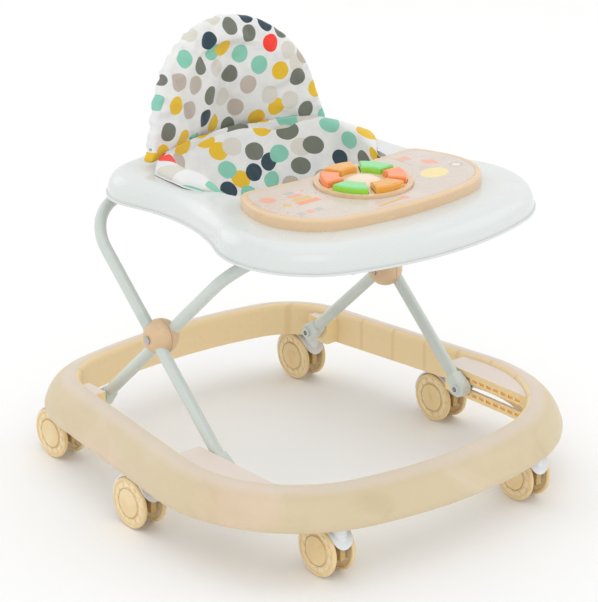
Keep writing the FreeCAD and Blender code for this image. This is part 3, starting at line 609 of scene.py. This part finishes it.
def dotted_fabric(name, offset):
    """Plain-woven white cloth with dots printed in the cloth's own flat coordinates."""
    look = Look(name, srgb(241, 241, 240), 0.86, Sheen_Weight=0.2, Sheen_Roughness=0.45)
    cloth = look.add("ShaderNodeAttribute", attribute_name="cloth").outputs["Vector"]
    bleed = look.add("ShaderNodeTexNoise")
    look.feed(bleed, Vector=cloth, Scale=900.0, Detail=2.0)
    shift = look.add("ShaderNodeVectorMath", operation="MULTIPLY_ADD")
    look.feed(shift, i0=bleed.outputs["Color"], i1=(0.0007, 0.0007, 0.0),
              i2=(-0.00035, -0.00035, 0.0))
    edge = look.add("ShaderNodeVectorMath", operation="ADD")
    look.feed(edge, i0=cloth, i1=shift.outputs[0])
    tone = look.noise(55.0, 3.0, 0.6, vector=cloth)
    color = look.mix(look.span(tone, 0.35, 0.7), srgb(233, 234, 234), srgb(241, 241, 239))
    for moved, kept in ((offset + SECOND_OFFSET, SECOND_KEPT), (offset, KEPT)):
        inside, tint = dot_layer(look, edge.outputs[0], moved, kept)
        color = look.mix(look.math("MULTIPLY", inside, 0.98), color, tint)
    parts = look.add("ShaderNodeSeparateXYZ")
    look.feed(parts, Vector=cloth)
    threads = [
        look.math("SINE", look.math("MULTIPLY", parts.outputs[axis], 2 * math.pi / THREAD_PITCH))
        for axis in "XY"
    ]
    weave = look.math("MULTIPLY", *threads)
    shade = look.span(weave, -1.0, 1.0, 0.0, 0.10)
    look.paint(look.mix(shade, color, srgb(150, 150, 150), "MULTIPLY"))
    slub = look.add("ShaderNodeTexNoise")
    look.feed(slub, Vector=look.stretched(900.0, 60.0, 1.0, cloth), Scale=1.0, Detail=2.0)
    height = look.add("ShaderNodeMath", operation="MULTIPLY_ADD")
    look.feed(height, i0=weave, i1=0.5, i2=slub.outputs["Fac"])
    crumple = look.noise(42.0, 4.0, 0.55, 0.8, cloth)
    total = look.add("ShaderNodeMath", operation="MULTIPLY_ADD")
    look.feed(total, i0=crumple, i1=9.0, i2=height.outputs[0])
    look.relief(total.outputs[0], 0.00012)
    look.gloss(look.span(tone, 0.3, 0.7, 0.8, 0.92))
    return look.material


# The pad is laid flat, then bent round an upright axis at PAD_CENTRE_Y
PAD_RADIUS = 0.281
PAD_CENTRE_Y = -0.140
PAD_HALF_THICK = 0.0085
PAD_LOW = 0.3742
PAD_HALF_WIDTH = 0.136
ARCH_RADIUS = 0.125
ARCH_Z = 0.400


def bend(s, depth, z):
    """A point of the flat pad wrapped round the child's back; depth is towards the rear."""
    radius = PAD_RADIUS + depth
    angle = s / PAD_RADIUS
    return Vector((radius * math.sin(angle), PAD_CENTRE_Y + radius * math.cos(angle), z))


def arch_outline(inset, count=150):
    """The pad's outline laid flat: an arch with straight lower sides."""
    half, arch, low = PAD_HALF_WIDTH - inset, ARCH_RADIUS - inset, PAD_LOW + inset
    points = [(-half + 2 * half * k / 30, low) for k in range(30)]
    foot = math.radians(12)
    shoulder = (arch * math.cos(foot), ARCH_Z + arch * math.sin(foot))
    points += [
        (half + (shoulder[0] - half) * k / 8, low + (shoulder[1] - low) * k / 8)
        for k in range(8)
    ]
    points += [
        (arch * math.cos(foot + (math.pi - 2 * foot) * k / count),
         ARCH_Z + arch * math.sin(foot + (math.pi - 2 * foot) * k / count))
        for k in range(count)
    ]
    points += [
        (-shoulder[0] + (shoulder[0] - half) * k / 8, shoulder[1] + (low - shoulder[1]) * k / 8)
        for k in range(8)
    ]
    return [(PAD_RADIUS * math.asin(x / PAD_RADIUS), z) for x, z in points]


def border_distance(s, z):
    """How far a flat point lies inside the arch's outline, near enough for shaping."""
    x = PAD_RADIUS * math.sin(s / PAD_RADIUS)
    side = PAD_HALF_WIDTH - abs(x) - max(0.0, z - 0.374) * 0.26
    if z > 0.426:
        side = ARCH_RADIUS - math.hypot(x, z - ARCH_Z)
    return max(0.0, min(side, z - PAD_LOW + 0.02))


def back_pad():
    """The stuffed seat back: a closed form, swelled by cloth simulation, with its gathers."""
    outline = arch_outline(0.004)
    made = bmesh.new()
    front = [made.verts.new((s, -PAD_HALF_THICK, z)) for s, z in outline]
    rear = [made.verts.new((s, PAD_HALF_THICK, z)) for s, z in outline]
    made.faces.new(front)
    made.faces.new(list(reversed(rear)))
    for k in range(len(outline)):
        made.faces.new((front[k - 1], rear[k - 1], rear[k], front[k]))
    mesh = bpy.data.meshes.new("seat_back_pad")
    made.to_mesh(mesh)
    made.free()
    obj = placed("seat_back_pad", mesh)
    remesh = obj.modifiers.new("remesh", "REMESH")
    remesh.mode = "VOXEL"
    remesh.voxel_size = 0.0042
    apply_modifiers(obj)
    mesh = obj.data
    cloth = mesh.attributes.new("cloth", "FLOAT_VECTOR", "POINT")
    for index, vertex in enumerate(mesh.vertices):
        cloth.data[index].vector = (vertex.co.x, vertex.co.z, 0.0)
    held = obj.vertex_groups.new(name="held")
    for index, vertex in enumerate(mesh.vertices):
        s, depth, z = vertex.co
        inside = border_distance(s, z)
        depth *= 0.45 + 0.55 * math.sqrt(min(1.0, inside / 0.03))
        if depth > 0.004 or inside < 0.006:
            held.add([index], 1.0, "REPLACE")
        vertex.co = bend(s, depth, z)
    swell(obj, "held", pressure=4.0, slack=-0.045, cap=0.0075)
    subdivide(obj)
    mesh = obj.data
    flat_places = [entry.vector.copy() for entry in mesh.attributes["cloth"].data]
    for (s, z, _), vertex in zip(flat_places, mesh.vertices):
        vertex.co += gathers(s, z, border_distance(s, z), vertex.co)
    return obj


def swell(obj, held, pressure, slack, cap, gravity=0.0, frames=20):
    """Run Cloth on a piece for a few frames and keep the result, within a cap on movement."""
    rest = [vertex.co.copy() for vertex in obj.data.vertices]
    modifier = obj.modifiers.new("cloth", "CLOTH")
    settings = modifier.settings
    settings.quality = 5
    settings.mass = 0.2
    settings.tension_stiffness = settings.compression_stiffness = 18
    settings.shear_stiffness = 6
    settings.bending_stiffness = 0.25
    settings.air_damping = 4
    settings.use_pressure = pressure > 0
    settings.uniform_pressure_force = pressure
    settings.shrink_min = slack
    settings.vertex_group_mass = held
    settings.pin_stiffness = 1
    settings.effector_weights.gravity = gravity
    modifier.point_cache.frame_start = 1
    modifier.point_cache.frame_end = frames
    for step in range(1, frames + 1):
        scene.frame_set(step)
    apply_modifiers(obj)
    scene.frame_set(1)
    for vertex, start in zip(obj.data.vertices, rest):
        move = vertex.co - start
        if move.length > cap:
            vertex.co = start + move * (cap / move.length)


# Upright folds down the pad: place across it, width, depth
PAD_FOLDS = ((-0.076, 0.0040, 0.0030), (-0.052, 0.0055, 0.0016), (0.058, 0.0060, 0.0012))
GATHER_REACH = 0.040


def gathers(s, z, inside, at):
    """Soft tucks that run in from the pad's edge, and upright folds that bow outwards."""
    inner = Vector((at.x, at.y - PAD_CENTRE_Y, 0.0)).normalized()
    held = smoothstep(inside, 0.0, 0.015)
    bow = 0.30 * (z - 0.43)
    upright = sum(crease(s - place + (bow if place < 0 else -bow), width, depth)
                  for place, width, depth in PAD_FOLDS)
    upright += 0.0016 * noise.noise(Vector((s * 26.0, 5.0, z * 9.0)))
    drift = -inner * upright * held
    fade = max(0.0, 1.0 - inside / GATHER_REACH) ** 2
    if fade == 0.0:
        return drift
    along = math.atan2(z - ARCH_Z, s) if z > ARCH_Z else (
        math.copysign(1.0, s) * -0.2 + (ARCH_Z - z) * -8 * math.copysign(1.0, s))
    run = along * ARCH_RADIUS
    wave = noise.noise(Vector((run * 95.0, 3.0, 0.0))) + 0.6 * math.sin(run * 330.0 + 2 * s)
    outward = Vector((s, 0.0, max(0.0, z - ARCH_Z))).normalized()
    side = 1.0 if s < -0.05 else 0.55
    return drift + (inner * 0.0020 + outward * 0.0009) * wave * fade * side


# ---------------------------------------------------------------- hung seat


def rounded_loop(half, front, back, corner, count):
    """Points round a box with round corners, evenly spread, starting at the middle front."""
    points = []
    centres = ((half - corner, front + corner, -90), (half - corner, back - corner, 0),
               (corner - half, back - corner, 90), (corner - half, front + corner, 180))
    points.append((0.0, front))
    for cx, cy, first in centres:
        for k in range(13):
            angle = math.radians(first + 90 * k / 12)
            points.append((cx + corner * math.cos(angle), cy + corner * math.sin(angle)))
    points.append((0.0, front))
    lengths = [0.0]
    for a, b in zip(points, points[1:]):
        lengths.append(lengths[-1] + math.dist(a, b))
    loop, segment = [], 0
    for k in range(count):
        want = lengths[-1] * k / count
        while lengths[segment + 1] < want:
            segment += 1
        span = lengths[segment + 1] - lengths[segment]
        t = (want - lengths[segment]) / span if span else 0.0
        a, b = points[segment], points[segment + 1]
        loop.append((a[0] + (b[0] - a[0]) * t, a[1] + (b[1] - a[1]) * t))
    return loop


AROUND = 168
OPENING = {"half": 0.116, "front": -0.058, "back": 0.126, "corner": 0.060}
LOWER = {"half": 0.080, "front": -0.024, "back": 0.062, "corner": 0.038}
# Over the rim, from the cloth's outer edge on the tray to just inside the opening:
# how far each loop stands outside the opening, its height at the back and at the front
RIM = (
    (0.0250, 0.3722, 0.3640), (0.0262, 0.3756, 0.3655), (0.0250, 0.3792, 0.3665),
    (0.0215, 0.3822, 0.3670), (0.0165, 0.3842, 0.3672), (0.0110, 0.3852, 0.3672),
    (0.0055, 0.3850, 0.3670), (0.0005, 0.3836, 0.3664), (-0.0038, 0.3800, 0.3650),
)
# Loops from there down to the edge of the seat's base, and from that edge to its middle
WALL_STEPS = 22
FLOOR_STEPS = 9
FLOOR_EDGE_Z = 0.2835
FLOOR_CENTRE = (0.0, 0.019, 0.2815)
# The rim's reach at the front, where the tray's collar leaves no wing
FRONT_REACH = -0.0045
# The wings stop this far from the pad's axis, so that they tuck under the pad's face
WING_LIMIT = 0.2690
LEG_X, LEG_Z, LEG_RADIUS = 0.046, 0.322, 0.0335
# Faces in front of LEG_WALL_Y belong to the front wall; edges this near a hole are rounded
LEG_WALL_Y, LEG_EDGE_Y = 0.004, 0.006
LEG_EDGE_REACH = 0.006


def rearness(y):
    """0 at the front of the seat and 1 from the middle back."""
    return smoothstep(y, -0.012, 0.030)


def seat_cloth():
    """The hung seat: wings over the tray's rim and a sloping back, one sheet; its two leg holes
    are cut afterwards.
    """
    top = rounded_loop(**OPENING, count=AROUND)
    low = rounded_loop(**LOWER, count=AROUND)
    rows = []
    for reach, back_z, front_z in RIM:
        row = []
        for (x, y), (lx, ly) in zip(top, low):
            rear = rearness(y)
            out = Vector((x - lx, y - ly, 0.0)).normalized()
            amount = FRONT_REACH + (reach - FRONT_REACH) * rear
            point = Vector((x, y, 0.0)) + out * amount
            point.z = front_z + (back_z - front_z) * rear
            limit = WING_LIMIT - math.hypot(point.x, point.y - PAD_CENTRE_Y)
            if limit < 0:
                flat = Vector((point.x, point.y - PAD_CENTRE_Y, 0.0)).normalized()
                point += flat * limit
                point.z += min(0.004, -limit * 0.5)
            row.append(point)
        rows.append(row)
    for k in range(1, WALL_STEPS + 1):
        t = k / WALL_STEPS
        row = []
        for a, (lx, ly) in zip(rows[len(RIM) - 1], low):
            blend_in = t + 0.10 * math.sin(math.pi * t)
            z = FLOOR_EDGE_Z
            if t < 1:
                z = a.z + (FLOOR_EDGE_Z - a.z) * (1 - (1 - t) ** 1.45)
            row.append(Vector((a.x + (lx - a.x) * blend_in ** 1.05,
                               a.y + (ly - a.y) * blend_in ** 1.05, z)))
        rows.append(row)
    centre = Vector(FLOOR_CENTRE)
    for k in range(1, FLOOR_STEPS):
        t = k / FLOOR_STEPS
        rows.append([a.lerp(centre, t) + Vector((0, 0, -0.0012 * math.sin(math.pi * t)))
                     for a in rows[len(RIM) - 1 + WALL_STEPS]])
    verts = [point for row in rows for point in row] + [centre]
    faces = []
    for r in range(len(rows) - 1):
        for k in range(AROUND):
            m = (k + 1) % AROUND
            faces.append((r * AROUND + k, r * AROUND + m,
                          (r + 1) * AROUND + m, (r + 1) * AROUND + k))
    last = (len(rows) - 1) * AROUND
    faces += [(last + k, last + (k + 1) % AROUND, len(verts) - 1) for k in range(AROUND)]
    mesh = bpy.data.meshes.new("seat_cloth")
    mesh.from_pydata(verts, [], faces)
    lay_flat(mesh, rows)
    obj = placed("seat_cloth", mesh)
    held = obj.vertex_groups.new(name="held")
    for index, vertex in enumerate(mesh.vertices):
        if index < len(RIM) * AROUND:
            held.add([index], 1.0 if index < 2 * AROUND else 0.85, "REPLACE")
    swell(obj, "held", pressure=0.0, slack=-0.05, cap=0.0055, gravity=0.6)
    for vertex in obj.data.vertices:
        vertex.co += folds(vertex.co)
    subdivide(obj)
    return obj


# How far past the walls the seat's base is laid, so that its dots differ
BASE_GAP = 0.2


def lay_flat(mesh, rows):
    """Each face corner's place on the uncut cloth: round the wall and down it, or the base."""
    walls = len(RIM) + WALL_STEPS - 1
    middle = rows[len(RIM) + WALL_STEPS // 2]
    around = [0.0]
    for k in range(AROUND):
        around.append(around[-1] + (middle[(k + 1) % AROUND] - middle[k]).length)
    rear = AROUND // 2
    down = [0.0]
    for upper, lower in zip(rows, rows[1:]):
        down.append(down[-1] + (lower[rear] - upper[rear]).length)
    cloth = mesh.uv_layers.new(name="cloth")
    for polygon in mesh.polygons:
        row, column = divmod(polygon.index, AROUND)
        for loop_index in polygon.loop_indices:
            vertex = mesh.loops[loop_index].vertex_index
            r, k = divmod(vertex, AROUND)
            if row < walls:
                k = AROUND if k == 0 and column == AROUND - 1 else k
                cloth.data[loop_index].uv = (around[rear] - around[k], -down[r])
            else:
                x, y, _ = mesh.vertices[vertex].co
                cloth.data[loop_index].uv = (x, y - down[walls] - BASE_GAP)


# Pleats in the seat's rear wall: place across it at PLEAT_Z, lean, depth
PLEATS = ((-0.060, 0.35, 0.0028), (-0.018, 0.20, 0.0022),
          (0.022, -0.25, 0.0030), (0.066, -0.40, 0.0020))
PLEAT_Z = 0.34
PLEAT_WIDTH = 0.0038


def folds(at):
    """Slack pleats that run from the seat's top edge down into it, and a lumpy rolled rim."""
    down = smoothstep(0.384 - at.z, 0.0, 0.03)
    angle = math.atan2(at.x, at.y + 0.01)
    pleat = noise.noise(Vector((angle * 3.2, 7.0, at.z * 6)))
    pleat += 0.5 * noise.noise(Vector((angle * 8.0, 1.5, at.z * 10)))
    pleat += 0.9 * (0.35 - abs(noise.noise(Vector((angle * 5.5, 11.0, at.z * 4)))))
    inward = Vector((-at.x, -at.y - 0.01, 0.0)).normalized()
    wall = smoothstep(at.z, 0.2860, 0.30)
    lump = noise.noise(Vector((at.x * 28, at.y * 28, 4.0))) * (1 - down)
    rear = rearness(at.y)
    lines = sum(crease(at.x - x - lean * (at.z - PLEAT_Z), PLEAT_WIDTH, depth)
                for x, lean, depth in PLEATS) * smoothstep(at.y, 0.02, 0.06)
    return (inward * (0.0042 * pleat + lines) * down * wall
            + Vector((0, 0, 0.0022 * lump * rear)))


def cut_leg_holes(obj):
    """Open the two leg holes in the front wall and round their edges."""
    made = bmesh.new()
    made.from_mesh(obj.data)

    def offset(point, side):
        """From the middle of one hole to a point, seen from the front."""
        return Vector((point.x - side * LEG_X, 0.0, point.z - LEG_Z))

    gone = [
        face for face in made.faces
        if face.calc_center_median().y < LEG_WALL_Y and any(
            offset(face.calc_center_median(), side).length < LEG_RADIUS for side in (-1, 1))
    ]
    bmesh.ops.delete(made, geom=gone, context="FACES")
    for edge in made.edges:
        if not edge.is_boundary:
            continue
        for vertex in edge.verts:
            for side in (-1, 1):
                away = offset(vertex.co, side)
                if vertex.co.y < LEG_EDGE_Y and away.length < LEG_RADIUS + LEG_EDGE_REACH:
                    snapped = away.normalized() * LEG_RADIUS
                    vertex.co.x = side * LEG_X + snapped.x
                    vertex.co.z = LEG_Z + snapped.z
    made.to_mesh(obj.data)
    made.free()


def tape_round(name, loops, radius, material, body):
    """Bias tape or piping sewn along closed lines of points."""
    curve = bpy.data.curves.new(name, "CURVE")
    curve.dimensions = "3D"
    curve.bevel_depth = radius
    curve.bevel_resolution = 3
    for points in loops:
        spline = curve.splines.new("POLY")
        spline.points.add(len(points) - 1)
        for target, point in zip(spline.points, points):
            target.co = (*point, 1.0)
        spline.use_cyclic_u = True
    obj = placed(name, curve)
    curve.materials.append(material)
    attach(obj, body)
    return obj


def boundary_loops(mesh):
    """Closed runs of open edges, as lists of points, in the same order each run."""
    made = bmesh.new()
    made.from_mesh(mesh)
    # A dict keeps the mesh's own order, where a set's order changes from run to run
    open_edges = dict.fromkeys(edge for edge in made.edges if edge.is_boundary)
    loops = []
    while open_edges:
        edge, _ = open_edges.popitem()
        first, at = edge.verts
        loop = [first.co.copy(), at.co.copy()]
        while at != first:
            following = [e for e in at.link_edges if e in open_edges]
            if not following:
                break
            del open_edges[following[0]]
            at = following[0].other_vert(at)
            loop.append(at.co.copy())
        loops.append(loop[:-1] if at == first else loop)
    made.free()
    return loops


CLOTH_THICKNESS = 0.0016
TAPE_RADIUS = 0.0011
back_fabric = dotted_fabric("seat_fabric_back", 0.0)
seat_fabric = dotted_fabric("seat_fabric_seat", 3.7)

pad = back_pad()
dress(pad.data, back_fabric)
shade_smooth(pad.data)
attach(pad, "tray")
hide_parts("seat_back", "backrest_board")

seat = seat_cloth()
cut_leg_holes(seat)
edges = boundary_loops(seat.data)
shell = seat.modifiers.new("thickness", "SOLIDIFY")
shell.thickness = CLOTH_THICKNESS
shell.offset = -1
apply_modifiers(seat)
dress(seat.data, seat_fabric)
shade_smooth(seat.data)
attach(seat, "tray")
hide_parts("seat_sling")
binding = tape_round("seat_binding", edges, TAPE_RADIUS, seat_fabric, "tray")
